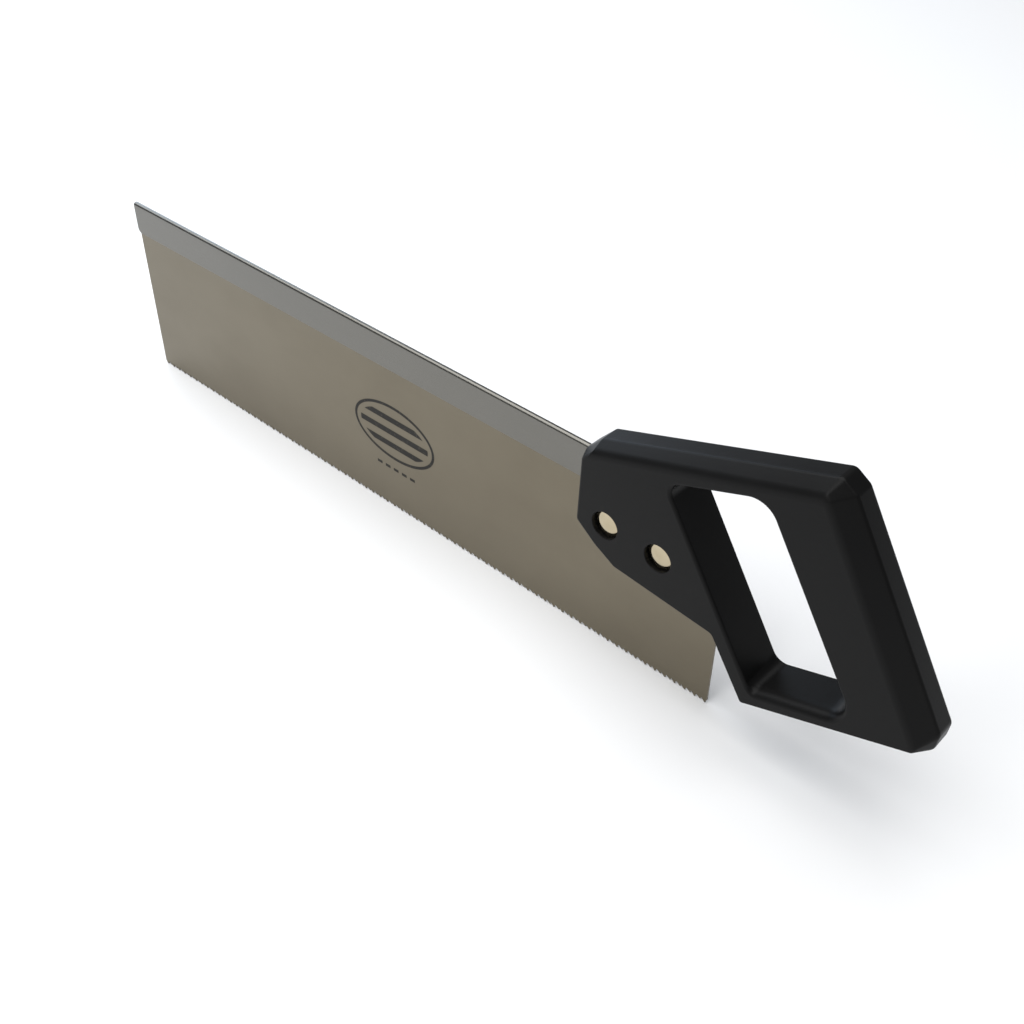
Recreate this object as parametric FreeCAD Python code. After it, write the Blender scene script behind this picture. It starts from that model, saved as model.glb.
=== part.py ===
import FreeCAD, Part
import math
import os

# Hand saw with a folded steel back and a one-piece moulded handle.
#
# The saw is laid out from the toe corner of the tooth line: X runs from the toe to the heel and
# on to the handle, Z runs up from the tooth points, and the plate lies in the XZ plane.
# At the end every piece is moved along X by the same amount, so that the origin is on the line
# of the tooth points, under the middle of the saw's whole length.

# ---- plate ----
PLATE_LENGTH = 350.0
PLATE_THICKNESS = 0.85
TOOTH_COUNT = 145
TOOTH_DEPTH = 1.5
TOOTH_STEEP_SHARE = 0.3          # share of the pitch under the steep side of a tooth
TOOTH_SET = 0.2                  # how far each point leans out of the plate, in turn to each side
TOOTH_SET_HEIGHT = 2.2           # height of the strip that is bent to set the teeth
PLATE_TOP_GAP = 0.3              # between the plate's top edge and the inside of the back's fold
PLATE_HEEL_HEIGHT = 52.0         # above this the hidden heel slopes forward, clear of the hand hole
PLATE_TOP_REAR = 325.5

# ---- back ----
SAW_HEIGHT = 91.4                # tooth points to the top of the back
BACK_HEIGHT = 15.6
BACK_SHEET = 1.0
BACK_OVERHANG = 0.2              # how far the back stands out past the toe
BACK_END = 323.0
BACK_CORNER = 2.5

# ---- handle: flat sides, a narrow flat rim round the outline, and a bevel between them ----
HALF_WIDTH = 9.5
RIM_HALF_WIDTH = 4.1
SLOT_CLEARANCE = 0.05            # each side of the plate and of the back
HOLE_EDGE_RADIUS = 1.2
HOLE_DRAFT = 0.85                # how far every wall of the hand hole leans in from -Y to +Y

# Corners of the handle, in order round it. Each has its place on the flat side, then one place
# on the rim, or two where the rim's corner is cut off.
HANDLE_CORNERS = {
    "nose": [(288.7, 63.2), (286.7, 62.2)],
    "front": [(289.7, 92.1), (287.6, 93.0)],
    "shoulder": [(294.2, 96.6), (294.6, 100.5)],
    "top_rear": [(384.8, 125.9), (386.5, 132.1), (392.6, 128.1)],
    "bottom_rear": [(433.3, 46.2), (437.9, 54.2), (437.2, 46.2)],
    "bottom_front": [(368.6, 22.0), (368.0, 20.0)],
    "neck": [(352.8, 45.9), (351.9, 44.3)],
    "cheek": [(307.6, 50.4), (307.1, 48.6)],
    "chin": [(297.6, 56.1), (296.6, 54.6)],
}

# Corners of the hand hole: place on the -Y side, then the radius that rounds it there and at +Y.
HAND_HOLE = [
    ((326.6, 100.2), 5.0, 5.0),
    ((365.6, 114.6), 9.5, 9.5),
    ((411.0, 43.5), 8.5, 8.5),
    ((371.1, 30.0), 3.5, 6.5),
]

# ---- binder screws and their barrel nuts ----
SCREW_PLACES = {"front": (302.1, 67.3), "rear": (326.6, 66.0)}
RECESS_RADIUS = 5.85
RECESS_FLOOR = 6.5               # distance of the recess floor from the plate's middle
HEAD_RADIUS = 5.6
HEAD_RIM = 1.0                   # thickness of the head's straight edge
HEAD_DOME = 1.3                  # how far the domed crown rises above that edge
BARREL_RADIUS = 2.5
BARREL_LENGTH = 9.0
BARREL_HOLE_RADIUS = 2.6
SHANK_RADIUS = 1.7
SHANK_LENGTH = 9.8
THREAD_CLEARANCE = 0.05
DRIVE_SLOT_WIDTH = 1.2
DRIVE_SLOT_DEPTH = 1.1
DRIVE_SLOT_TURN = 35.0           # degrees

# ---- worked out from the above ----
HALF_PLATE = PLATE_THICKNESS / 2
HALF_BACK = HALF_PLATE + BACK_SHEET
PITCH = PLATE_LENGTH / TOOTH_COUNT
PLATE_TOP = SAW_HEIGHT - BACK_SHEET - PLATE_TOP_GAP
BACK_BOTTOM = SAW_HEIGHT - BACK_HEIGHT
SAW_LENGTH = max(place[0] for corner in HANDLE_CORNERS.values() for place in corner) + BACK_OVERHANG

PAST = 1.0                       # how far a cutting shape runs past the piece that it cuts
SLOT_MOUTH = HANDLE_CORNERS["nose"][1][0] - PAST
SAME_PLACE = 0.01                # two points nearer than this are one point
ALONG_Y = FreeCAD.Vector(0, 1, 0)


def at(x, z, y=0.0):
    """A point from its length along the saw, its height and its distance from the plate's middle."""
    return FreeCAD.Vector(x, y, z)


def polygon(points):
    """A flat face with straight sides through the points."""
    return Part.Face(Part.makePolygon(points + points[:1]))


def slab(outline, low_y, high_y):
    """The outline, given as lengths and heights, carried from low_y to high_y."""
    return polygon([at(x, z, low_y) for x, z in outline]).extrude(ALONG_Y * (high_y - low_y))


def round_rod(place, radius, low_y, high_y):
    """A cylinder along Y."""
    return Part.makeCylinder(radius, high_y - low_y, at(place[0], place[1], low_y), ALONG_Y)


# ---- saw plate ----

def tooth(left, lean):
    """One tooth and the strip of plate above it. Its point leans out of the plate by lean."""
    right = left + PITCH
    point_x = right - PITCH * TOOTH_STEEP_SHARE
    near, far = -HALF_PLATE, HALF_PLATE
    point = {side: at(point_x, 0.0, side + lean) for side in (near, far)}
    base = {side: [at(left, TOOTH_DEPTH, side), at(right, TOOTH_DEPTH, side)] for side in (near, far)}
    top = {side: [at(left, TOOTH_SET_HEIGHT, side), at(right, TOOTH_SET_HEIGHT, side)]
           for side in (near, far)}
    outlines = []
    for side in (near, far):
        outlines.append([base[side][0], point[side], base[side][1]])
        outlines.append([base[side][0], base[side][1], top[side][1], top[side][0]])
    for end in (0, 1):
        outlines.append([base[near][end], point[near], point[far], base[far][end]])
        outlines.append([base[near][end], top[near][end], top[far][end], base[far][end]])
    outlines.append([top[near][0], top[near][1], top[far][1], top[far][0]])
    return Part.makeSolid(Part.makeShell([polygon(outline) for outline in outlines]))


def tooth_strip():
    """The bottom strip of the plate: a row of teeth that lean to each side in turn."""
    teeth = [tooth(index * PITCH, TOOTH_SET if index % 2 else -TOOTH_SET)
             for index in range(TOOTH_COUNT)]
    return teeth[0].multiFuse(teeth[1:]).removeSplitter()


def saw_plate():
    """The toothed plate: its hidden heel is clear of the hand hole, and it has two barrel holes."""
    outline = [
        (0.0, TOOTH_SET_HEIGHT),
        (PLATE_LENGTH, TOOTH_SET_HEIGHT),
        (PLATE_LENGTH, PLATE_HEEL_HEIGHT),
        (PLATE_TOP_REAR, PLATE_TOP),
        (0.0, PLATE_TOP),
    ]
    plate = slab(outline, -HALF_PLATE, HALF_PLATE).fuse(tooth_strip())
    for place in SCREW_PLACES.values():
        plate = plate.cut(round_rod(place, BARREL_HOLE_RADIUS, -PAST, PAST))
    return plate.removeSplitter()


# ---- folded back ----

def back_section(grow=0.0):
    """The back's outer section, across the saw: two straight sides under a round fold."""
    half = HALF_BACK + grow
    bottom = BACK_BOTTOM - grow
    fold_centre = SAW_HEIGHT - HALF_BACK
    legs = [at(0, fold_centre, half), at(0, bottom, half), at(0, bottom, -half),
            at(0, fold_centre, -half)]
    lines = [Part.LineSegment(start, end).toShape() for start, end in zip(legs, legs[1:])]
    fold = Part.Arc(legs[3], at(0, fold_centre + half), legs[0]).toShape()
    return Part.Face(Part.Wire(lines + [fold]))


def carried_along(section, low_x, high_x):
    """A section across the saw, carried from low_x to high_x."""
    start = section.copy()
    start.translate(at(low_x, 0))
    return start.extrude(at(high_x - low_x, 0))


def lower_corners(back):
    """The short edges across the saw at the two lower corners of the back."""
    found = []
    for edge in back.Edges:
        box = edge.BoundBox
        low = box.ZMax < BACK_BOTTOM + SAME_PLACE
        across = box.XLength < SAME_PLACE and box.YLength > SAME_PLACE
        if low and across:
            found.append(edge)
    return found


def folded_back():
    """The stiff back: one strip of sheet folded over the plate's top edge."""
    back = carried_along(back_section(), -BACK_OVERHANG, BACK_END)
    throat = [
        (-BACK_OVERHANG - PAST, BACK_BOTTOM - PAST),
        (BACK_END + PAST, BACK_BOTTOM - PAST),
        (BACK_END + PAST, SAW_HEIGHT - BACK_SHEET),
        (-BACK_OVERHANG - PAST, SAW_HEIGHT - BACK_SHEET),
    ]
    back = back.cut(slab(throat, -HALF_PLATE, HALF_PLATE))
    return back.makeFillet(BACK_CORNER, lower_corners(back))


# ---- handle ----

def handle_block():
    """The handle's outer body: flat sides, flat rim, and one bevel face along each edge."""
    corners = list(HANDLE_CORNERS.values())
    side_outline = [corner[0] for corner in corners]
    rim = [place for corner in corners for place in corner[1:]]
    faces = []
    for (x0, z0), (x1, z1) in zip(rim, rim[1:] + rim[:1]):
        faces.append(polygon([at(x0, z0, -RIM_HALF_WIDTH), at(x1, z1, -RIM_HALF_WIDTH),
                              at(x1, z1, RIM_HALF_WIDTH), at(x0, z0, RIM_HALF_WIDTH)]))
    for sign in (-1, 1):
        faces.append(polygon([at(x, z, sign * HALF_WIDTH) for x, z in side_outline]))
        for corner, following in zip(corners, corners[1:] + corners[:1]):
            faces.extend(bevel_faces(corner, following, sign))
    shell = Part.makeShell(faces)
    shell.sewShape()
    return Part.makeSolid(shell)


def bevel_faces(corner, following, sign):
    """The bevel along one edge of the handle, and the triangle that ends it at a cut-off corner."""
    side_y = sign * HALF_WIDTH
    rim_y = sign * RIM_HALF_WIDTH
    side_edge = Part.LineSegment(at(*corner[0], side_y), at(*following[0], side_y)).toShape()
    rim_edge = Part.LineSegment(at(*corner[-1], rim_y), at(*following[1], rim_y)).toShape()
    faces = [Part.makeRuledSurface(side_edge, rim_edge)]
    cut_off = following[2:]
    if cut_off:
        faces.append(polygon([at(*following[0], side_y), at(*following[1], rim_y),
                              at(*cut_off[0], rim_y)]))
    return faces


def rounded_outline(corners):
    """A closed wire through the corners, each rounded by an arc of its own radius."""
    places = [at(*place) for place, radius in corners]
    arcs = []
    for index, (place, radius) in enumerate(corners):
        corner = places[index]
        before = (places[index - 1] - corner).normalize()
        after = (places[(index + 1) % len(places)] - corner).normalize()
        half_angle = before.getAngle(after) / 2
        inward = (before + after).normalize()
        reach = radius / math.tan(half_angle)
        depth = radius / math.sin(half_angle) - radius
        arcs.append((corner + before * reach, corner + inward * depth, corner + after * reach))
    edges = []
    for (start, middle, end), following in zip(arcs, arcs[1:] + arcs[:1]):
        edges.append(Part.Arc(start, middle, end).toShape())
        edges.append(Part.LineSegment(end, following[0]).toShape())
    return Part.Wire(edges)


def hole_outline(y):
    """The hand hole's outline at a distance from the plate's middle."""
    share = (y + HALF_WIDTH) / (2 * HALF_WIDTH)
    corners = [(place, near + (far - near) * share) for place, near, far in HAND_HOLE]
    outline = rounded_outline(corners).makeOffset2D(-HOLE_DRAFT * share)
    outline.translate(ALONG_Y * y)
    return outline


def hand_hole():
    """The space of the hand hole, from one side of the handle to the other."""
    return Part.makeLoft([hole_outline(-HALF_WIDTH), hole_outline(HALF_WIDTH)], True, True)


def hand_hole_edges(body):
    """The edges round the hand hole on both flat sides."""
    opening = hole_outline(-HALF_WIDTH).BoundBox
    opening.enlarge(SAME_PLACE)
    found = []
    for edge in body.Edges:
        box = edge.BoundBox
        on_side = abs(abs(box.YMin) - HALF_WIDTH) < SAME_PLACE and box.YLength < SAME_PLACE
        in_length = box.XMin > opening.XMin and box.XMax < opening.XMax
        in_height = box.ZMin > opening.ZMin and box.ZMax < opening.ZMax
        if on_side and in_length and in_height:
            found.append(edge)
    return found


def plate_slot():
    """The slot that takes the plate, open at the handle's front and along its lower edge."""
    half = HALF_PLATE + SLOT_CLEARANCE
    outline = [
        (SLOT_MOUTH, 0.0),
        (PLATE_LENGTH + SLOT_CLEARANCE, 0.0),
        (PLATE_LENGTH + SLOT_CLEARANCE, PLATE_HEEL_HEIGHT + SLOT_CLEARANCE),
        (PLATE_TOP_REAR + SLOT_CLEARANCE, PLATE_TOP + SLOT_CLEARANCE),
        (SLOT_MOUTH, PLATE_TOP + SLOT_CLEARANCE),
    ]
    return slab(outline, -half, half)


def handle():
    """The one-piece handle, with its hand hole, plate slot, back pocket and screw recesses."""
    body = handle_block().cut(hand_hole())
    body = body.makeFillet(HOLE_EDGE_RADIUS, hand_hole_edges(body))
    back_pocket = carried_along(back_section(SLOT_CLEARANCE), SLOT_MOUTH, BACK_END + SLOT_CLEARANCE)
    body = body.cut(plate_slot().fuse(back_pocket))
    for place in SCREW_PLACES.values():
        body = body.cut(round_rod(place, BARREL_HOLE_RADIUS, -HALF_WIDTH, HALF_WIDTH))
        body = body.cut(round_rod(place, RECESS_RADIUS, -HALF_WIDTH - PAST, -RECESS_FLOOR))
        body = body.cut(round_rod(place, RECESS_RADIUS, RECESS_FLOOR, HALF_WIDTH + PAST))
    return body


# ---- binder screws and barrel nuts ----

def domed_head():
    """A round head that stands on the origin along Z, with a straight edge and a domed crown."""
    crown_radius = (HEAD_RADIUS ** 2 + HEAD_DOME ** 2) / (2 * HEAD_DOME)
    crown_top = HEAD_RIM + HEAD_DOME
    crown = Part.makeSphere(crown_radius, FreeCAD.Vector(0, 0, crown_top - crown_radius))
    return Part.makeCylinder(HEAD_RADIUS, crown_top).common(crown)


def shank(radius, length):
    """A round shank that hangs down along Z from the origin."""
    return Part.makeCylinder(radius, length, FreeCAD.Vector(0, 0, -length))


def drive_slot():
    """The space of a straight drive slot across the crown of a head."""
    length = 2 * (HEAD_RADIUS + PAST)
    low = FreeCAD.Vector(-length / 2, -DRIVE_SLOT_WIDTH / 2, HEAD_RIM + HEAD_DOME - DRIVE_SLOT_DEPTH)
    slot = Part.makeBox(length, DRIVE_SLOT_WIDTH, DRIVE_SLOT_DEPTH + PAST, low)
    slot.rotate(FreeCAD.Vector(), FreeCAD.Vector(0, 0, 1), DRIVE_SLOT_TURN)
    return slot


def set_in_handle(piece, place, side):
    """Lays a fastener that stands along Z into its recess: side is -1 or 1, for -Y or +Y."""
    piece.rotate(FreeCAD.Vector(), FreeCAD.Vector(1, 0, 0), -90 * side)
    piece.translate(at(*place, side * RECESS_FLOOR))
    return piece


def barrel_nut(place):
    """A domed nut with a threaded barrel, in the recess on the -Y side."""
    bore = shank(SHANK_RADIUS + THREAD_CLEARANCE, BARREL_LENGTH)
    nut = domed_head().fuse(shank(BARREL_RADIUS, BARREL_LENGTH)).cut(bore)
    return set_in_handle(nut, place, -1)


def binder_screw(place):
    """A domed screw with a straight drive slot, in the recess on the +Y side."""
    screw = domed_head().fuse(shank(SHANK_RADIUS, SHANK_LENGTH)).cut(drive_slot())
    return set_in_handle(screw, place, 1)


# ---- whole saw ----

def all_pieces():
    """Every piece by name, laid out from the toe corner."""
    pieces = {"saw_plate": saw_plate(), "folded_back": folded_back(), "handle": handle()}
    for name, place in SCREW_PLACES.items():
        pieces[name + "_barrel_nut"] = barrel_nut(place)
        pieces[name + "_binder_screw"] = binder_screw(place)
    return pieces


def main():
    os.makedirs("parts", exist_ok=True)
    to_origin = at(BACK_OVERHANG - SAW_LENGTH / 2, 0)
    for name, shape in all_pieces().items():
        shape.translate(to_origin)
        shape.exportStep(os.path.join("parts", name + ".step"))
        box = shape.BoundBox
        print(name, shape.isValid(), len(shape.Solids), round(shape.Volume, 1),
              [round(v, 2) for v in (box.XMin, box.XMax, box.YMin, box.YMax, box.ZMin, box.ZMax)])


main()
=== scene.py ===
import math

import bmesh
import bpy
from mathutils import Matrix, Vector
from mathutils.geometry import delaunay_2d_cdt


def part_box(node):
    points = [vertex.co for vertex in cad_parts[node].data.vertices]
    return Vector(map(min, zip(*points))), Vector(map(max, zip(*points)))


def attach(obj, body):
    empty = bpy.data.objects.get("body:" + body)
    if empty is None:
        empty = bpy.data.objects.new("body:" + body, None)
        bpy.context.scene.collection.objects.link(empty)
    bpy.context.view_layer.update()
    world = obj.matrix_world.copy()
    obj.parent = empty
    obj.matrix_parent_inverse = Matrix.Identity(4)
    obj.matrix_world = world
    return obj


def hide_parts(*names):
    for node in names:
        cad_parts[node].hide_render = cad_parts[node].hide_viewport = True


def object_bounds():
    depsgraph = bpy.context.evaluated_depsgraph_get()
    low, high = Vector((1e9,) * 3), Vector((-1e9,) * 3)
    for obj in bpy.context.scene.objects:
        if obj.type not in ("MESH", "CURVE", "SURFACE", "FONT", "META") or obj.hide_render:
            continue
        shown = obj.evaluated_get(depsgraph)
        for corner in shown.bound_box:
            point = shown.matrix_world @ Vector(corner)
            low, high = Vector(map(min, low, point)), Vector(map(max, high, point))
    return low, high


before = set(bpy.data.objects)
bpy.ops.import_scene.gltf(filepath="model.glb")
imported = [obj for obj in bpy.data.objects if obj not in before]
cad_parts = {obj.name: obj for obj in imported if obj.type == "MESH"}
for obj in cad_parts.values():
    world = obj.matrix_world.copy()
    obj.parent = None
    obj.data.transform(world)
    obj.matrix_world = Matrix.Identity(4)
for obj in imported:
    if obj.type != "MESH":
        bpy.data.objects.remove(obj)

# The looks of a hand saw: plate, folded back, one-piece handle, and its nuts and screws.
#
# Sizes are in millimetres. Lengths run from the plate's toe edge towards the handle, heights run
# up from the tooth points, and y is the distance from the plate's middle, towards the far side.
# point() turns them into the frame's metres.

CAD_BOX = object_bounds()
MM = 0.001
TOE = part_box("saw_plate")[0].x


def point(x, z, y=0.0):
    """A place on the saw, from millimetres to the frame's metres."""
    return Vector((TOE + x * MM, y * MM, z * MM))


def millimetres(place):
    """(length, height, y) of a place in the frame."""
    return (place.x - TOE) / MM, place.z / MM, place.y / MM


# ---- sizes that the frame holds ----
PLATE_LENGTH, PLATE_TOP, _ = millimetres(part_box("saw_plate")[1])
BACK_START, BACK_BOTTOM, _ = millimetres(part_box("folded_back")[0])
BACK_END, SAW_HEIGHT, HALF_BACK = millimetres(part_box("folded_back")[1])
HALF_WIDTH = millimetres(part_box("handle")[1])[2]

# ---- plate and back ----
BACK_SHEET = 1.0
HALF_PLATE = HALF_BACK - BACK_SHEET
PLATE_HEEL_HEIGHT = 52.0
PLATE_TOP_REAR = 325.5
BACK_CORNER = 2.5
FOLD_CENTRE = SAW_HEIGHT - HALF_BACK     # height of the axis of the round fold
SHEET_EDGE = 0.15                # softened edges of the folded strip
SHEET_EDGE_STEPS = 3
SHEET_EDGE_ANGLE = math.radians(50)      # edges sharper than this are softened
FOLD_STEPS = 24                  # steps over the fold
LEG_STEPS = 4                    # steps up each straight leg
LENGTH_STEPS = 40                # steps along the back
CORNER_STEPS = 6                 # steps round each rounded lower corner

# ---- handle ----
RIM_HALF_WIDTH = 4.1
SLOT_CLEARANCE = 0.05

# Corners of the handle, in order: place on the flat side and its radius in plan; the one or two
# places on the narrow rim and their radius; then, for the edge that follows the corner, how far
# the rounding reaches from the side's edge and from the rim's edge.
HANDLE_CORNERS = [
    ((288.7, 63.2), 2.0, [(286.7, 62.2)], 1.5, 1.0, 0.8),                    # nose
    ((289.7, 92.1), 2.5, [(287.6, 93.0)], 2.0, 1.0, 1.2),                    # front
    ((294.2, 96.6), 2.0, [(294.6, 100.5)], 1.0, 2.8, 0.8),                   # shoulder
    ((384.8, 125.9), 2.5, [(386.5, 132.1), (392.6, 128.1)], 3.0, 1.7, 0.9),  # top rear
    ((433.3, 46.2), 1.5, [(437.9, 54.2), (437.2, 46.2)], 4.0, 0.5, 0.5),     # bottom rear
    ((368.6, 22.0), 1.0, [(368.0, 20.0)], 0.8, 0.5, 0.5),                    # bottom front
    ((352.8, 45.9), 3.0, [(351.9, 44.3)], 3.0, 0.7, 0.5),                    # neck
    ((307.6, 50.4), 2.0, [(307.1, 48.6)], 2.0, 0.7, 0.5),                    # cheek
    ((297.6, 56.1), 2.0, [(296.6, 54.6)], 2.0, 0.8, 0.6),                    # chin
]
ARC_POINTS = 8                   # points round each corner of the handle
STRAIGHT_STEPS = 6               # steps along each straight edge
ROUNDING_POINTS = 7              # points across each rounded edge

# Corners of the hand hole: place on the near side, and the radius there and on the far side; then
# how far the rounded edge of the wall that follows reaches over the near side and down the wall.
HAND_HOLE = [
    ((326.6, 100.2), 5.0, 5.0, (1.2, 1.2)),    # top wall
    ((365.6, 114.6), 9.5, 9.5, (1.2, 1.2)),    # wall in front of the grip
    ((411.0, 43.5), 8.5, 8.5, (3.2, 5.0)),     # bottom wall
    ((371.1, 30.0), 3.5, 6.5, (1.6, 1.2)),     # wall behind the cheek
]
HOLE_DRAFT = 0.85                # how far every wall leans in from the near to the far side
FAR_HOLE_ROUNDING = (0.7, 0.7)
HOLE_ARC_POINTS = 14
HOLE_STRAIGHT_STEPS = 10

# ---- binder screws and barrel nuts ----
SCREW_PLACES = {"front": (302.1, 67.3), "rear": (326.6, 66.0)}
RECESS_RADIUS = 5.85
RECESS_FLOOR = 6.5
RECESS_EDGE = 0.35
RECESS_EDGE_STEPS = 3
BARREL_HOLE_RADIUS = 2.6
HEAD_RADIUS = 5.6
HEAD_RIM = 1.0
HEAD_DOME = 1.3
HEAD_EDGE = 0.25
HEAD_EDGE_STEPS = 4
CROWN_STEPS = 14                 # steps from the middle of a domed head to its edge
BARREL_RADIUS = 2.5
BARREL_LENGTH = 9.0
SHANK_RADIUS = 1.7
SHANK_LENGTH = 9.8
THREAD_CLEARANCE = 0.05
DRIVE_SLOT_WIDTH = 1.2
DRIVE_SLOT_DEPTH = 1.1
DRIVE_SLOT_TURN = 35.0           # degrees
ROUND_STEPS = 72                 # steps round a turned piece

PAST = 1.0                       # how far a cutting shape runs past the piece that it cuts
SLOT_MOUTH = HANDLE_CORNERS[0][2][0][0] - PAST   # where the plate's and back's spaces start
SMOOTH_ANGLE = math.radians(32)  # faces that meet at less than this are shaded as one
WHOLE_HULL = 0                   # makes delaunay_2d_cdt give every triangle between the points
JOINED_UNDER = 1e-6              # points of a side that are nearer than this would be joined
SAME_PLACE = 0.001               # two places nearer than this are one place


# ---- outlines in plan: lists of 2-D vectors, x and z ----

def arc(before, corner, after, radius, count):
    """count points of the arc that rounds a corner between its two neighbours."""
    to_before = (before - corner).normalized()
    to_after = (after - corner).normalized()
    half_angle = to_before.angle(to_after) / 2
    centre = corner + (to_before + to_after).normalized() * (radius / math.sin(half_angle))
    reach = radius / math.tan(half_angle)
    start = corner + to_before * reach - centre
    end = corner + to_after * reach - centre
    turn = start.angle(end)
    found = []
    for index in range(count):
        share = index / (count - 1)
        spoke = start * math.sin((1 - share) * turn) + end * math.sin(share * turn)
        found.append(centre + spoke / math.sin(turn))
    return found


def rounded_loop(corners, steps):
    """A closed outline from (place, radius, number of points) corners, joined in equal steps."""
    places = [Vector(place) for place, radius, count in corners]
    arcs = []
    for index, (place, radius, count) in enumerate(corners):
        after = places[(index + 1) % len(places)]
        arcs.append(arc(places[index - 1], places[index], after, radius, count))
    loop = []
    for index, points in enumerate(arcs):
        following = arcs[(index + 1) % len(arcs)][0]
        loop.extend(points)
        loop.extend(points[-1].lerp(following, step / steps) for step in range(1, steps))
    return loop


def edge_values(values, counts, steps):
    """The value for every point of a rounded loop: one for each edge, blended round the corners."""
    found = []
    for index, (value, count) in enumerate(zip(values, counts)):
        before, after = Vector(values[index - 1]), Vector(value)
        for point_index in range(count):
            share = point_index / (count - 1)
            found.append(before.lerp(after, share * share * (3 - 2 * share)))
        found.extend([after] * (steps - 1))
    return found


def bend(start, control, end, count):
    """count points of a smooth bend from start to end that leaves and arrives towards control."""
    found = []
    for index in range(count):
        share = index / (count - 1)
        found.append(start.lerp(control, share).lerp(control.lerp(end, share), share))
    return found


# ---- meshes ----

def band(bm, rows, closed=True):
    """Quads between rows of vertices, each row joined to the next, and the last to the first."""
    for row, following in zip(rows, rows[1:] + rows[:1] if closed else rows[1:]):
        for index in range(len(row) - 1):
            bm.faces.new((row[index], row[index + 1], following[index + 1], following[index]))


def ring(bm, radius, y, place):
    """A ring of vertices round a screw's axis."""
    found = []
    for step in range(ROUND_STEPS):
        turn = math.tau * step / ROUND_STEPS
        found.append(bm.verts.new(point(place[0] + radius * math.cos(turn),
                                        place[1] + radius * math.sin(turn), y)))
    return found


def finished(bm, name):
    """The mesh as an object of the scene, with outward faces and smooth shading up to an angle."""
    bmesh.ops.recalc_face_normals(bm, faces=bm.faces)
    mesh = bpy.data.meshes.new(name)
    bm.to_mesh(mesh)
    bm.free()
    piece = bpy.data.objects.new(name, mesh)
    bpy.context.scene.collection.objects.link(piece)
    smooth(piece)
    return piece


def smooth(piece):
    """Smooth shading, with sharp edges where faces meet at more than the smooth angle."""
    piece.data.shade_smooth()
    piece.data.set_sharp_from_angle(angle=SMOOTH_ANGLE)


def applied(piece):
    """Makes what the piece's modifiers show its own mesh."""
    bpy.context.view_layer.update()
    shown = piece.evaluated_get(bpy.context.evaluated_depsgraph_get())
    piece.data = bpy.data.meshes.new_from_object(shown)
    piece.modifiers.clear()


def even_normals(piece):
    """Lets the large flat faces lead the shading of the small faces beside them."""
    weighted = piece.modifiers.new("even_normals", "WEIGHTED_NORMAL")
    weighted.keep_sharp = True
    applied(piece)


def flat_sides(piece, half_width):
    """Shades the two flat sides of a piece as flat, right up to their rounded edges."""
    mesh = piece.data
    normals = [corner.vector.copy() for corner in mesh.corner_normals]
    for loop in mesh.loops:
        y = mesh.vertices[loop.vertex_index].co.y / MM
        if abs(abs(y) - half_width) < SAME_PLACE:
            normals[loop.index] = Vector((0, math.copysign(1, y), 0))
    mesh.normals_split_custom_set(normals)


def cut(piece, cutter):
    """Takes the cutter's space out of the piece, and removes the cutter."""
    modifier = piece.modifiers.new("cut", "BOOLEAN")
    modifier.operation = "DIFFERENCE"
    modifier.solver = "EXACT"
    modifier.object = cutter
    applied(piece)
    bpy.data.objects.remove(cutter)
    smooth(piece)


def prism(name, outline, low_y, high_y):
    """A closed slab with the outline given as lengths and heights."""
    bm = bmesh.new()
    low = [bm.verts.new(point(x, z, low_y)) for x, z in outline]
    high = [bm.verts.new(point(x, z, high_y)) for x, z in outline]
    bm.faces.new(low)
    bm.faces.new(high)
    band(bm, [list(pair) for pair in zip(low, high)])
    return finished(bm, name)


# ---- handle ----

def inset_corners(places, distances):
    """The corners of an outline whose edges are moved in, each by its own distance."""
    found = []
    for index, place in enumerate(places):
        place = Vector(place)
        before = (place - Vector(places[index - 1])).normalized()
        after = (Vector(places[(index + 1) % len(places)]) - place).normalized()
        turn = before.cross(after)
        move = before * distances[index] - after * distances[index - 1]
        found.append(place + move / turn)
    return found


def handle_sections():
    """Across the handle's edge, for every place round it: points from +Y to -Y, (x, z, y)."""
    places = [corner[0] for corner in HANDLE_CORNERS]
    flat_places = inset_corners(places, [corner[4] for corner in HANDLE_CORNERS])
    # Where the rim's corner is cut off, the side's corner has as many points as its two arcs and
    # the straight piece between them.
    counts = [ARC_POINTS if len(corner[2]) == 1 else 2 * ARC_POINTS + STRAIGHT_STEPS - 1
              for corner in HANDLE_CORNERS]
    radii = [corner[1] for corner in HANDLE_CORNERS]
    rim_corners = []
    for corner in HANDLE_CORNERS:
        rim, rim_radius = corner[2:4]
        rim_corners.extend((place, rim_radius, ARC_POINTS) for place in rim)
    flat_loop = rounded_loop(list(zip(flat_places, radii, counts)), STRAIGHT_STEPS)
    side_loop = rounded_loop(list(zip(places, radii, counts)), STRAIGHT_STEPS)
    rim_loop = rounded_loop(rim_corners, STRAIGHT_STEPS)
    reaches = edge_values([corner[4:] for corner in HANDLE_CORNERS], counts, STRAIGHT_STEPS)
    sections = []
    for flat, side, rim, (from_side, from_rim) in zip(flat_loop, side_loop, rim_loop, reaches):
        flat_edge = Vector((flat.x, flat.y, HALF_WIDTH))
        side_edge = Vector((side.x, side.y, HALF_WIDTH))
        rim_edge = Vector((rim.x, rim.y, RIM_HALF_WIDTH))
        down = (rim_edge - side_edge).normalized()
        across = Vector((0, 0, -1))
        half = bend(flat_edge, side_edge, side_edge + down * from_side, ROUNDING_POINTS)
        half += bend(rim_edge - down * from_rim, rim_edge, rim_edge + across * from_rim,
                     ROUNDING_POINTS)
        sections.append(half + [Vector((x, z, -y)) for x, z, y in reversed(half)])
    return sections


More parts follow.
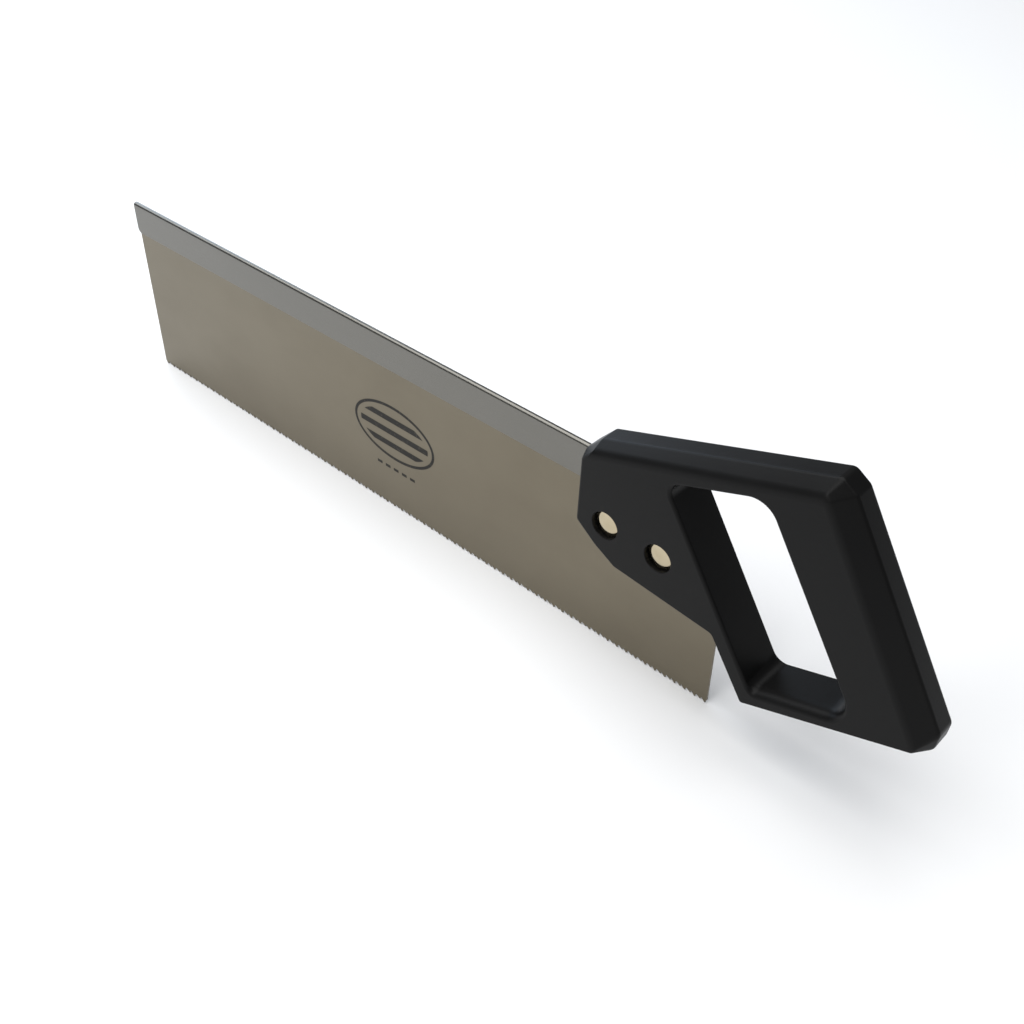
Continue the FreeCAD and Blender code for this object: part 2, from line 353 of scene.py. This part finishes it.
def hole_sections():
    """Across the hand hole's wall, for every place round it: points from +Y to -Y, (x, z, y)."""
    near_corners = [(place, near, HOLE_ARC_POINTS) for place, near, _, _ in HAND_HOLE]
    far_corners = [(place, far, HOLE_ARC_POINTS) for place, _, far, _ in HAND_HOLE]
    near_loop = rounded_loop(near_corners, HOLE_STRAIGHT_STEPS)
    far_loop = rounded_loop(far_corners, HOLE_STRAIGHT_STEPS)
    roundings = edge_values([corner[3] for corner in HAND_HOLE],
                            [HOLE_ARC_POINTS] * len(HAND_HOLE), HOLE_STRAIGHT_STEPS)
    sections = []
    for index, rounding in enumerate(roundings):
        following = (index + 1) % len(near_loop)
        along = (near_loop[following] - near_loop[index - 1]).normalized()
        outward = Vector((-along.y, along.x))
        lines = []
        for side, (over, down) in ((1, FAR_HOLE_ROUNDING), (-1, rounding)):
            line = []
            for step in range(ROUNDING_POINTS):
                turn = math.pi / 2 * step / (ROUNDING_POINTS - 1)
                y = side * (HALF_WIDTH - down * (1 - math.cos(turn)))
                share = (y + HALF_WIDTH) / (2 * HALF_WIDTH)
                wall = near_loop[index].lerp(far_loop[index], share)
                spot = wall + outward * (over * (1 - math.sin(turn)) - HOLE_DRAFT * share)
                line.append(Vector((spot.x, spot.y, y)))
            lines.append(line)
        far, near = lines
        sections.append(far + near[::-1])
    return sections


def recess_rings(bm, place):
    """Rings of vertices down one recess, through its barrel hole and up the other recess."""
    half = []
    for step in range(RECESS_EDGE_STEPS + 1):
        turn = math.pi / 2 * step / RECESS_EDGE_STEPS
        half.append((RECESS_RADIUS + RECESS_EDGE * (1 - math.sin(turn)),
                     HALF_WIDTH - RECESS_EDGE * (1 - math.cos(turn))))
    half += [(RECESS_RADIUS, RECESS_FLOOR), (BARREL_HOLE_RADIUS, RECESS_FLOOR)]
    levels = half + [(radius, -y) for radius, y in reversed(half)]
    return [ring(bm, radius, y, place) for radius, y in levels]


def inside(place, loops):
    """True for a place inside the outline and outside its openings."""
    crossings = 0
    for loop in loops:
        for start, end in zip(loop, loop[1:] + loop[:1]):
            if (start.y > place.y) != (end.y > place.y):
                share = (place.y - start.y) / (end.y - start.y)
                crossings += start.x + share * (end.x - start.x) > place.x
    return crossings % 2 == 1


def fill_side(bm, rings):
    """Flat triangles inside an outline and outside its openings, all of them rings of vertices."""
    loops = [[Vector((vert.co.x, vert.co.z)) / MM for vert in row] for row in rings]
    verts = [vert for row in rings for vert in row]
    edges = []
    for loop in loops:
        first = len(edges)
        edges.extend((first + index, first + (index + 1) % len(loop)) for index in range(len(loop)))
    flat = [place for loop in loops for place in loop]
    triangles = delaunay_2d_cdt(flat, edges, [], WHOLE_HULL, JOINED_UNDER)[2]
    for corners in triangles:
        middle = sum((flat[corner] for corner in corners), Vector((0, 0))) / 3
        if inside(middle, loops):
            bm.faces.new([verts[corner] for corner in corners])


def moulded_handle():
    """The one-piece handle, with rounded edges, hand hole, screw recesses, slot and back pocket."""
    bm = bmesh.new()
    outer = [[bm.verts.new(point(*p)) for p in section] for section in handle_sections()]
    hole = [[bm.verts.new(point(*p)) for p in section] for section in hole_sections()]
    recesses = [recess_rings(bm, place) for place in SCREW_PLACES.values()]
    band(bm, outer)
    band(bm, hole)
    for recess in recesses:
        band(bm, [list(line) for line in zip(*recess)])
    for end in (0, -1):
        rings = [[row[end] for row in outer], [row[end] for row in hole]]
        fill_side(bm, rings + [recess[end] for recess in recesses])
    handle = finished(bm, "moulded_handle")
    cut(handle, plate_slot())
    cut(handle, back_pocket())
    even_normals(handle)
    flat_sides(handle, HALF_WIDTH)
    return handle


def plate_slot():
    """The space in the handle that the plate goes into."""
    half = HALF_PLATE + SLOT_CLEARANCE
    outline = [
        (SLOT_MOUTH, 0.0),
        (PLATE_LENGTH + SLOT_CLEARANCE, 0.0),
        (PLATE_LENGTH + SLOT_CLEARANCE, PLATE_HEEL_HEIGHT + SLOT_CLEARANCE),
        (PLATE_TOP_REAR + SLOT_CLEARANCE, PLATE_TOP + SLOT_CLEARANCE),
        (SLOT_MOUTH, PLATE_TOP + SLOT_CLEARANCE),
    ]
    return prism("plate_slot", outline, -half, half)


def back_pocket():
    """The space in the handle that the folded back goes into."""
    half = HALF_BACK + SLOT_CLEARANCE
    section = [(-half, BACK_BOTTOM - SLOT_CLEARANCE), (half, BACK_BOTTOM - SLOT_CLEARANCE)]
    for step in range(FOLD_STEPS + 1):
        turn = math.pi * step / FOLD_STEPS
        section.append((half * math.cos(turn), FOLD_CENTRE + half * math.sin(turn)))
    bm = bmesh.new()
    ends = []
    for x in (SLOT_MOUTH, BACK_END + SLOT_CLEARANCE):
        ends.append([bm.verts.new(point(x, z, y)) for y, z in section])
        bm.faces.new(ends[-1])
    band(bm, [list(pair) for pair in zip(*ends)])
    return finished(bm, "back_pocket")


# ---- folded back ----

def leg_heights():
    """Heights up one leg of the back, each with how far a rounded lower corner sets it in."""
    found = []
    for step in range(CORNER_STEPS + 1):
        turn = math.pi / 2 * step / CORNER_STEPS
        found.append((BACK_BOTTOM + BACK_CORNER * (1 - math.cos(turn)),
                      BACK_CORNER * (1 - math.sin(turn))))
    low = BACK_BOTTOM + BACK_CORNER
    found += [(low + (FOLD_CENTRE - low) * step / LEG_STEPS, 0.0) for step in range(1, LEG_STEPS)]
    return found


def back_line(half):
    """(y, z, set-in) points over the back's section, from the near leg to the far leg."""
    near = [(-half, z, inset) for z, inset in leg_heights()]
    fold = []
    for step in range(FOLD_STEPS + 1):
        turn = math.pi * (1 - step / FOLD_STEPS)
        fold.append((half * math.cos(turn), FOLD_CENTRE + half * math.sin(turn), 0.0))
    far = [(half, z, inset) for z, inset in reversed(leg_heights())]
    return near + fold + far


def folded_strip():
    """The back as one strip of sheet folded over, with softened edges."""
    bm = bmesh.new()
    sheets = []
    for half in (HALF_BACK, HALF_PLATE):
        rows = []
        for y, z, inset in back_line(half):
            low = BACK_START + inset
            high = BACK_END - inset
            rows.append([bm.verts.new(point(low + (high - low) * step / LENGTH_STEPS, z, y))
                         for step in range(LENGTH_STEPS + 1)])
        band(bm, rows, closed=False)
        sheets.append(rows)
    outer, inner = sheets
    for end in (0, -1):
        band(bm, [outer[end], inner[end]], closed=False)
        band(bm, [[row[end] for row in outer], [row[end] for row in inner]], closed=False)
    strip = finished(bm, "folded_strip")
    edges = strip.modifiers.new("soft_edges", "BEVEL")
    edges.limit_method = "ANGLE"
    edges.angle_limit = SHEET_EDGE_ANGLE
    edges.width = SHEET_EDGE * MM
    edges.segments = SHEET_EDGE_STEPS
    even_normals(strip)
    return strip


# ---- turned nuts and screws ----

def head_profile():
    """(radius, height) points over a domed head, from its crown down to its underside."""
    crown_radius = (HEAD_RADIUS ** 2 + HEAD_DOME ** 2) / (2 * HEAD_DOME)
    centre = HEAD_RIM + HEAD_DOME - crown_radius
    widest = math.asin((HEAD_RADIUS - HEAD_EDGE) / crown_radius)
    found = []
    for step in range(1, CROWN_STEPS + 1):
        turn = widest * step / CROWN_STEPS
        found.append((crown_radius * math.sin(turn), centre + crown_radius * math.cos(turn)))
    top_edge = found[-1][1]
    for step in range(1, HEAD_EDGE_STEPS + 1):
        turn = math.pi / 2 * step / HEAD_EDGE_STEPS
        found.append((HEAD_RADIUS - HEAD_EDGE * (1 - math.sin(turn)),
                      top_edge - HEAD_EDGE * (1 - math.cos(turn))))
    found.append((HEAD_RADIUS, 0.0))
    return found


def turned(name, profile, place, side):
    """A piece turned from (radius, height) points, with its head facing out on one side."""
    bm = bmesh.new()
    rings = [ring(bm, radius, side * (RECESS_FLOOR + height), place) for radius, height in profile]
    band(bm, [list(line) for line in zip(*rings)])
    crown = bm.verts.new(point(*place, side * (RECESS_FLOOR + HEAD_RIM + HEAD_DOME)))
    for first, second in zip(rings[0], rings[0][1:] + rings[0][:1]):
        bm.faces.new((crown, first, second))
    bm.faces.new(rings[-1])
    return finished(bm, name)


def barrel_nut(name, place):
    """A domed nut on the near side, with its barrel and blind bore."""
    bore = SHANK_RADIUS + THREAD_CLEARANCE
    profile = head_profile() + [(BARREL_RADIUS, 0.0), (BARREL_RADIUS, -BARREL_LENGTH),
                                (bore, -BARREL_LENGTH), (bore, 0.0)]
    return turned(name, profile, place, -1)


def binder_screw(name, place):
    """A domed screw on the far side, with a straight drive slot."""
    profile = head_profile() + [(SHANK_RADIUS, 0.0), (SHANK_RADIUS, -SHANK_LENGTH)]
    screw = turned(name, profile, place, 1)
    slot_floor = RECESS_FLOOR + HEAD_RIM + HEAD_DOME - DRIVE_SLOT_DEPTH
    half_length = HEAD_RADIUS + PAST
    half_width = DRIVE_SLOT_WIDTH / 2
    turn = Matrix.Rotation(math.radians(-DRIVE_SLOT_TURN), 2)
    outline = []
    for along, over in ((-1, -1), (1, -1), (1, 1), (-1, 1)):
        spot = turn @ Vector((along * half_length, over * half_width)) + Vector(place)
        outline.append((spot.x, spot.y))
    cut(screw, prism(name + "_slot", outline, slot_floor, HALF_WIDTH + PAST))
    return screw


# ---- materials: a pair of colours or of numbers is a range that the surface varies over ----
PLASTIC_COLOURS = (0.0032, 0.0032, 0.0033, 1), (0.0047, 0.0046, 0.0045, 1)
PLATE_COLOURS = (0.190, 0.167, 0.124, 1), (0.168, 0.146, 0.107, 1)
PLATE_SHADE = (0.11, 0.098, 0.075, 1)    # mixed in a little in the grooves of the grain
INK = (0.010, 0.009, 0.008, 1)
BACK_COLOURS = (0.158, 0.153, 0.138, 1), (0.178, 0.172, 0.157, 1)
NICKEL_COLOURS = (0.43, 0.365, 0.245, 1), (0.50, 0.435, 0.31, 1)
FLOOR_COLOURS = (0.80, 0.80, 0.80, 1), (0.82, 0.82, 0.82, 1)
PLASTIC_ROUGHNESS = (0.34, 0.41)
RUB_ROUGHNESS = (0.0, 0.06)              # added where the plastic is rubbed
PLATE_ROUGHNESS = (0.27, 0.34)
SMUDGE_ROUGHNESS = (0.0, 0.05)           # added where the plate is smudged
INK_ROUGHNESS = 0.2                      # added where the plate is printed
BACK_ROUGHNESS = (0.24, 0.28)
NICKEL_ROUGHNESS = (0.08, 0.18)
MARK_COVER = (0.80, 0.98)                # how fully the print covers the steel
PLASTIC_SPECULAR = 0.125
PLATE_SPECULAR = 0.2
FLOOR_SPECULAR = 0.2
FLOOR_ROUGHNESS = 0.6
NOISE_SPREAD = (0.3, 0.7)                # where nearly all of a noise lies
OFF_TO_ON = (0.0, 1.0)
ON_TO_OFF = (1.0, 0.0)
MIX_SHARE, MIX_FIRST, MIX_SECOND = 0, 6, 7       # inputs of a node that mixes colours
MIX_RESULT = 2                                   # its output


class Shader:
    """A new material, with short ways to add and join its nodes."""

    def __init__(self, name):
        self.material = bpy.data.materials.new(name)
        self.material.use_nodes = True
        self.tree = self.material.node_tree
        self.surface = self.tree.nodes["Principled BSDF"]
        self.place = self.add("ShaderNodeTexCoord").outputs["Object"]

    def add(self, kind, **settings):
        """A new node with these settings."""
        node = self.tree.nodes.new(kind)
        for name, value in settings.items():
            setattr(node, name, value)
        return node

    def join(self, value, socket):
        """Links a node's output to a socket, or sets a plain value on it."""
        if isinstance(value, bpy.types.NodeSocket):
            self.tree.links.new(value, socket)
        else:
            socket.default_value = value

    def set(self, **values):
        """Sets or links the surface's own sockets, with _ for a space in a name."""
        for name, value in values.items():
            self.join(value, self.surface.inputs[name.replace("_", " ")])

    def maths(self, operation, *values):
        """The result of an operation on one or two values."""
        node = self.add("ShaderNodeMath", operation=operation)
        for socket, value in zip(node.inputs, values):
            self.join(value, socket)
        return node.outputs[0]

    def scaled(self, stretch):
        """The place on the saw, stretched along X, Y and Z."""
        node = self.add("ShaderNodeVectorMath", operation="MULTIPLY")
        self.join(self.place, node.inputs[0])
        self.join(stretch, node.inputs[1])
        return node.outputs[0]

    def noise(self, stretch, detail=3.0, roughness=0.5, distortion=0.0):
        """Noise from 0 to 1 that varies that many times per metre along X, Y and Z."""
        node = self.add("ShaderNodeTexNoise")
        self.join(self.scaled(stretch), node.inputs["Vector"])
        self.join(1.0, node.inputs["Scale"])
        self.join(detail, node.inputs["Detail"])
        self.join(roughness, node.inputs["Roughness"])
        self.join(distortion, node.inputs["Distortion"])
        return node.outputs["Fac"]

    def ranged(self, value, old_range, new_range):
        """A value moved from one range to another, and held inside it."""
        node = self.add("ShaderNodeMapRange")
        for socket, number in zip(node.inputs, (value, *old_range, *new_range)):
            self.join(number, socket)
        return node.outputs[0]

    def mixed(self, share, first, second):
        """A colour between two colours."""
        node = self.add("ShaderNodeMix", data_type="RGBA")
        self.join(share, node.inputs[MIX_SHARE])
        self.join(first, node.inputs[MIX_FIRST])
        self.join(second, node.inputs[MIX_SECOND])
        return node.outputs[MIX_RESULT]

    def bump(self, height, distance, strength=1.0, normal=None):
        """A surface normal bent by a height from 0 to 1 that stands for distance metres."""
        node = self.add("ShaderNodeBump")
        self.join(height, node.inputs["Height"])
        self.join(distance, node.inputs["Distance"])
        self.join(strength, node.inputs["Strength"])
        if normal is not None:
            self.join(normal, node.inputs["Normal"])
        return node.outputs["Normal"]


def moulded_plastic():
    """Black satin plastic: a fine moulded grain, slightly uneven gloss, and faint rub marks."""
    s = Shader("black_moulded_plastic")
    cloudy = s.noise((40, 40, 40), detail=4.0)
    grain = s.noise((2600, 2600, 2600), detail=2.0)
    pits = s.noise((900, 900, 900), detail=2.0, roughness=0.6)
    rubs = s.noise((60, 200, 420), detail=5.0, roughness=0.65, distortion=0.6)
    colour = s.mixed(cloudy, *PLASTIC_COLOURS)
    gloss = s.ranged(cloudy, NOISE_SPREAD, PLASTIC_ROUGHNESS)
    rubbed = s.ranged(rubs, (0.60, 0.75), RUB_ROUGHNESS)
    fine = s.bump(grain, 0.00003, 0.35)
    s.set(Base_Color=colour, Roughness=s.maths("ADD", gloss, rubbed), Specular_IOR_Level=PLASTIC_SPECULAR,
          Normal=s.bump(pits, 0.00005, 0.25, fine))
    return s.material


def steel_grain(s):
    """Fine lines along the length, as from grinding a strip of steel."""
    return s.noise((14, 30, 2600), detail=6.0, roughness=0.7)


def plate_steel():
    """Lightly polished plate: lengthwise grain, faint tarnish, and a plain printed mark."""
    s = Shader("plate_steel")
    grain = steel_grain(s)
    tarnish = s.noise((9, 9, 14), detail=5.0, roughness=0.55)
    smudge = s.noise((34, 34, 60), detail=6.0, roughness=0.6, distortion=0.4)
    clean = s.mixed(s.ranged(tarnish, (0.35, 0.65), OFF_TO_ON), *PLATE_COLOURS)
    shade = s.ranged(grain, NOISE_SPREAD, (0.93, 1.0))
    steel = s.mixed(shade, PLATE_SHADE, clean)
    gloss = s.maths("ADD", s.ranged(grain, NOISE_SPREAD, PLATE_ROUGHNESS),
                    s.ranged(smudge, (0.4, 0.7), SMUDGE_ROUGHNESS))
    ink = printed_mark(s)
    s.set(Base_Color=s.mixed(ink, steel, INK),
          Metallic=s.ranged(ink, OFF_TO_ON, ON_TO_OFF),
          Roughness=s.maths("ADD", gloss, s.maths("MULTIPLY", ink, INK_ROUGHNESS)),
          Specular_IOR_Level=PLATE_SPECULAR, Normal=s.bump(grain, 0.000004, 0.6))
    return s.material


# ---- printed mark, in millimetres ----
MARK_CENTRE = (178.0, 42.0)      # length and height
MARK_HALF_LENGTH = 25.0
MARK_HALF_HEIGHT = 14.5
MARK_LINE = 1.5                  # width of the ring's line and of the bar, half that of a stripe
MARK_GAP = 3.9                   # from the outside of the ring to the ends of the stripes
MARK_STRIPES = 3.4               # from the middle of a stripe to the middle of the gap beside it
MARK_BAR = (13.0, 20.0)          # half the bar's length, and its distance below the mark's centre
MARK_DASH = 2.6                  # from the middle of a dash to the middle of the gap beside it
MARK_DASH_INK = 0.6              # share of the bar that is printed
MARK_BLUR = 0.1                  # half the width of the soft edge of the print


def printed_mark(s):
    """Where the print is: a striped oval with a dashed bar below it, on the near side only."""
    axes = s.add("ShaderNodeSeparateXYZ")
    s.join(s.place, axes.inputs[0])
    centre = point(*MARK_CENTRE)
    across = s.maths("DIVIDE", s.maths("SUBTRACT", axes.outputs["X"], centre.x), MM)
    up = s.maths("DIVIDE", s.maths("SUBTRACT", axes.outputs["Z"], centre.z), MM)

    def near(value, limit):
        """1 where the value's size is under the limit, with a slightly soft edge."""
        size = s.maths("ABSOLUTE", value)
        return s.ranged(size, (limit - MARK_BLUR, limit + MARK_BLUR), ON_TO_OFF)

    def oval(half_length, half_height):
        """1 inside an oval."""
        along = s.maths("POWER", s.maths("DIVIDE", across, half_length), 2.0)
        over = s.maths("POWER", s.maths("DIVIDE", up, half_height), 2.0)
        share = s.maths("SQRT", s.maths("ADD", along, over))
        return near(s.maths("MULTIPLY", share, half_height), half_height)

    ring_line = s.maths("SUBTRACT", oval(MARK_HALF_LENGTH, MARK_HALF_HEIGHT),
                        oval(MARK_HALF_LENGTH - MARK_LINE, MARK_HALF_HEIGHT - MARK_LINE))
    level = s.maths("PINGPONG", up, MARK_STRIPES)
    stripes = s.maths("MULTIPLY", near(level, MARK_LINE),
                      oval(MARK_HALF_LENGTH - MARK_GAP, MARK_HALF_HEIGHT - MARK_GAP))
    bar_half, bar_below = MARK_BAR
    bar = s.maths("MULTIPLY", near(s.maths("ADD", up, bar_below), MARK_LINE / 2),
                  near(across, bar_half))
    dash = near(s.maths("PINGPONG", across, MARK_DASH), MARK_DASH * MARK_DASH_INK)
    dashes = s.maths("MULTIPLY", bar, dash)
    print_there = s.maths("MAXIMUM", s.maths("MAXIMUM", ring_line, stripes), dashes)
    near_side = s.maths("LESS_THAN", axes.outputs["Y"], 0.0)
    worn = s.ranged(s.noise((700, 700, 700), detail=3.0), (0.30, 0.42), MARK_COVER)
    return s.maths("MULTIPLY", s.maths("MULTIPLY", print_there, near_side), worn)


def back_steel():
    """Bright rolled strip: smoother than the plate, with fine lengthwise lines."""
    s = Shader("back_steel")
    grain = steel_grain(s)
    cloudy = s.noise((12, 60, 60), detail=4.0)
    colour = s.mixed(cloudy, *BACK_COLOURS)
    s.set(Base_Color=colour, Metallic=1.0, Roughness=s.ranged(grain, NOISE_SPREAD, BACK_ROUGHNESS),
          Normal=s.bump(grain, 0.000002, 0.3))
    return s.material


def warm_nickel():
    """Polished warm nickel plating, with fine handling marks."""
    s = Shader("warm_nickel")
    marks = s.noise((900, 900, 900), detail=5.0, roughness=0.7)
    cloudy = s.noise((260, 260, 260), detail=2.0)
    colour = s.mixed(cloudy, *NICKEL_COLOURS)
    s.set(Base_Color=colour, Metallic=1.0, Roughness=s.ranged(marks, (0.35, 0.7), NICKEL_ROUGHNESS),
          Normal=s.bump(marks, 0.000004, 0.4))
    return s.material


def pale_floor():
    """A plain pale studio floor."""
    s = Shader("pale_floor")
    cloudy = s.noise((3, 3, 3), detail=2.0)
    s.set(Base_Color=s.mixed(cloudy, *FLOOR_COLOURS), Roughness=FLOOR_ROUGHNESS,
          Specular_IOR_Level=FLOOR_SPECULAR)
    return s.material


# ---- the saw ----

def add_piece(piece, material, node):
    """Gives a piece its material and body, and lets it stand for its CAD node."""
    piece.data.materials.clear()
    piece.data.materials.append(material)
    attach(piece, "root")
    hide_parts(node)


def dress_plate(material):
    """The plate stays as CAD made it, with its own steel."""
    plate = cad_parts["saw_plate"]
    for slot in plate.material_slots:
        slot.material = material


def build_saw():
    """Every piece in its place, with its material."""
    nickel = warm_nickel()
    dress_plate(plate_steel())
    add_piece(folded_strip(), back_steel(), "folded_back")
    add_piece(moulded_handle(), moulded_plastic(), "handle")
    for name, place in SCREW_PLACES.items():
        nut = barrel_nut(name + "_domed_nut", place)
        add_piece(nut, nickel, name + "_barrel_nut")
        screw = binder_screw(name + "_slotted_screw", place)
        add_piece(screw, nickel, name + "_binder_screw")


# ---- floor, light and camera ----
FLOOR_SIZE = 6.0                 # metres
ROOM_LIGHT = 0.22
ROOM_COLOUR = (0.95, 0.97, 1.0, 1)

# Soft boxes: place and size in metres, power in watts, and colour.
SOFT_BOXES = {
    "overhead": ((-0.35, -0.35, 1.9), (2.8, 2.8), 69.0, (1.0, 1.0, 1.0)),
    "low_left": ((-1.25, 0.25, 0.52), (1.5, 0.85), 10.0, (0.72, 0.84, 1.0)),
    "front": ((0.02, -1.05, 0.68), (0.30, 0.24), 2.0, (1.0, 1.0, 1.0)),
}


def floor():
    """A wide plain floor under the tooth points."""
    bm = bmesh.new()
    half = FLOOR_SIZE / 2
    low = CAD_BOX[0].z
    corners = [(-half, -half), (half, -half), (half, half), (-half, half)]
    bm.faces.new([bm.verts.new((x, y, low)) for x, y in corners])
    ground = finished(bm, "floor")
    ground.data.materials.append(pale_floor())


def soft_light(name, aim, place, size, power, colour):
    """A rectangular soft box at a place, in metres, that faces a point."""
    lamp = bpy.data.lights.new(name, "AREA")
    lamp.shape = "RECTANGLE"
    lamp.size, lamp.size_y = size
    lamp.energy = power
    lamp.color = colour
    box = bpy.data.objects.new(name, lamp)
    bpy.context.scene.collection.objects.link(box)
    box.location = place
    box.rotation_mode = "QUATERNION"
    box.rotation_quaternion = (Vector(aim) - Vector(place)).to_track_quat("-Z", "Y")


def lights():
    """A broad soft box over the saw, a low one to the left, a small one in front, and a dim room."""
    middle = (CAD_BOX[0] + CAD_BOX[1]) / 2
    for name, settings in SOFT_BOXES.items():
        soft_light(name, middle, *settings)
    world = bpy.data.worlds.new("studio")
    world.use_nodes = True
    backdrop = world.node_tree.nodes["Background"]
    backdrop.inputs["Color"].default_value = ROOM_COLOUR
    backdrop.inputs["Strength"].default_value = ROOM_LIGHT
    bpy.context.scene.world = world
    bpy.context.scene.view_settings.view_transform = "Standard"


CAMERA_PLACE = (515.63, 367.42, -294.01)     # length, height and y in millimetres
CAMERA_TURN = 42.36                          # degrees to the left of straight across the saw
CAMERA_DOWN = 39.69                          # degrees below level
CAMERA_ROLL = 0.51                           # degrees
CAMERA_LENS = 44.47                          # millimetres
CAMERA_CLIP = 0.01                           # metres


def camera():
    """Looks down on the near side from beyond the handle."""
    turn, down = math.radians(CAMERA_TURN), math.radians(CAMERA_DOWN)
    ahead = Vector((-math.sin(turn) * math.cos(down), math.cos(turn) * math.cos(down),
                    -math.sin(down)))
    data = bpy.data.cameras.new("camera")
    data.lens = CAMERA_LENS
    data.clip_start = CAMERA_CLIP
    view = bpy.data.objects.new("camera", data)
    bpy.context.scene.collection.objects.link(view)
    level = ahead.to_track_quat("-Z", "Y").to_matrix()
    tilt = Matrix.Rotation(math.radians(CAMERA_ROLL), 3, "Z")
    view.matrix_world = Matrix.Translation(point(*CAMERA_PLACE)) @ (level @ tilt).to_4x4()
    bpy.context.scene.camera = view


build_saw()
floor()
lights()
camera()
